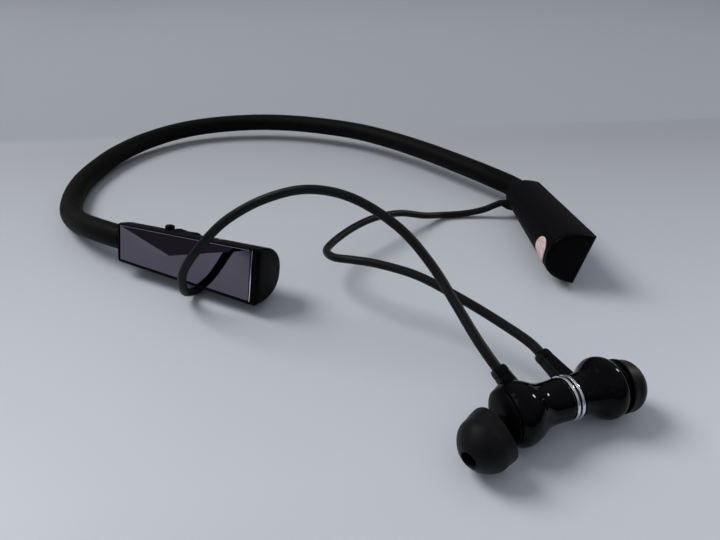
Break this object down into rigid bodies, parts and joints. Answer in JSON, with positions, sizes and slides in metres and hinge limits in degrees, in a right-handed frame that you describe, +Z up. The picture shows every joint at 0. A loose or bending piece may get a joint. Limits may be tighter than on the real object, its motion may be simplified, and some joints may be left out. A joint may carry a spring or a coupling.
{
  "type": "neckband earphones",
  "caption": "Flexible neckband with a D-section pod at each end, a free cord from each pod, and two magnetic in-ear earbuds held back to back.",
  "frame": {"origin": "table level, under the middle of the bounding box of everything but the two cords", "axes": "+Z up from the table, +Y from the earbuds towards the back of the neckband, +X across from the left pod to the right pod"},
  "size_m": [0.1808, 0.2352, 0.0403],
  "materials": {
    "black_plastic": "satin",
    "chrome": "polished",
    "circuit_board": "solder mask",
    "cord_jacket": "satin",
    "ear_rubber": "matte silicone",
    "foil": "satin can",
    "gloss_black": "piano black",
    "grille": "woven",
    "light_pipe": "frosted",
    "mirror_plate": "dark purple mirror gloss",
    "paper": "uncoated",
    "plated_steel": "nickel plated",
    "rubber": "matte",
    "silicone": "matte silicone",
    "soft_shell": "soft-touch",
    "spring_steel": "drawn wire",
    "wire_insulation": "smooth"
  },
  "bodies": {
    "neckband": {"neckband_sleeve": "silicone", "spring_wire": "spring_steel", "neckband_harness": "wire_insulation"},
    "arm_left": {"left_pod_shell": "soft_shell", "left_face_plate": "mirror_plate", "left_plate_trim": "chrome", "left_end_cap": "black_plastic", "left_neck_collar": "black_plastic", "left_cord_gland": "rubber", "left_wire_clamp": "plated_steel", "left_cord": "cord_jacket", "main_board": "circuit_board", "key_switch_strip": "foil", "bluetooth_module": "foil", "charging_port": "plated_steel", "charging_port_tongue": "black_plastic", "status_light_pipe": "light_pipe"},
    "arm_right": {"right_pod_shell": "soft_shell", "right_face_plate": "mirror_plate", "right_plate_trim": "chrome", "right_end_cap": "black_plastic", "right_neck_collar": "black_plastic", "right_cord_gland": "rubber", "right_wire_clamp": "plated_steel", "right_cord": "cord_jacket", "battery_cell": "foil", "vibration_motor": "plated_steel", "blank_label": "paper"},
    "multifunction_button": {"multifunction_button": "black_plastic"},
    "volume_rocker": {"volume_rocker": "black_plastic"},
    "left_earbud": {"left_chrome_ring": "chrome", "left_magnet": "plated_steel", "left_earbud_housing": "gloss_black", "left_driver": "foil", "left_front_cover": "black_plastic", "left_nozzle": "black_plastic", "left_nozzle_mesh": "grille", "left_strain_relief": "gloss_black"},
    "right_earbud": {"right_chrome_ring": "chrome", "right_magnet": "plated_steel", "right_earbud_housing": "gloss_black", "right_driver": "foil", "right_front_cover": "black_plastic", "right_nozzle": "black_plastic", "right_nozzle_mesh": "grille", "right_strain_relief": "gloss_black"},
    "left_tip": {"left_ear_tip": "ear_rubber"},
    "right_tip": {"right_ear_tip": "ear_rubber"}
  },
  "joints": [
    {"name": "arm_left_flex", "type": "hinge", "parent": "neckband", "child": "arm_left", "pos_m": [-0.08625, 0.04548, 0.00407], "axis": [0, 0, -1], "range_deg": [0, 20], "stiffness_Nm_per_rad": 0.6, "deforming": ["neckband_sleeve", "spring_wire", "neckband_harness"]},
    {"name": "arm_right_flex", "type": "hinge", "parent": "neckband", "child": "arm_right", "pos_m": [0.06775, 0.03648, 0.00882], "axis": [0, 0, 1], "range_deg": [0, 20], "stiffness_Nm_per_rad": 0.6, "deforming": ["neckband_sleeve", "spring_wire", "neckband_harness"]},
    {"name": "left_earbud_pull", "type": "slide", "parent": "arm_left", "child": "left_earbud", "axis": [-0.9962, -0.0872, 0], "range_m": [0, 0.02], "deforming": ["left_cord"]},
    {"name": "right_earbud_pull", "type": "slide", "parent": "arm_right", "child": "right_earbud", "axis": [0.9962, 0.0872, 0], "range_m": [0, 0.02], "deforming": ["right_cord"]},
    {"name": "left_tip_pull", "type": "slide", "parent": "left_earbud", "child": "left_tip", "axis": [-0.8776, -0.4765, -0.0523], "range_m": [0, 0.012]},
    {"name": "right_tip_pull", "type": "slide", "parent": "right_earbud", "child": "right_tip", "axis": [0.9901, -0.0173, -0.1392], "range_m": [0, 0.012]},
    {"name": "multifunction_button_press", "type": "slide", "parent": "arm_left", "child": "multifunction_button", "axis": [-0.1872, -0.2463, -0.9509], "range_m": [0, 0.0005], "stiffness_N_per_m": 600},
    {"name": "volume_rocker_tilt", "type": "hinge", "parent": "arm_left", "child": "volume_rocker", "pos_m": [-0.04059, -0.0213, 0.01638], "axis": [0.615, 0.7254, -0.309], "range_deg": [-3, 3], "stiffness_Nm_per_rad": 0.05}
  ]
}
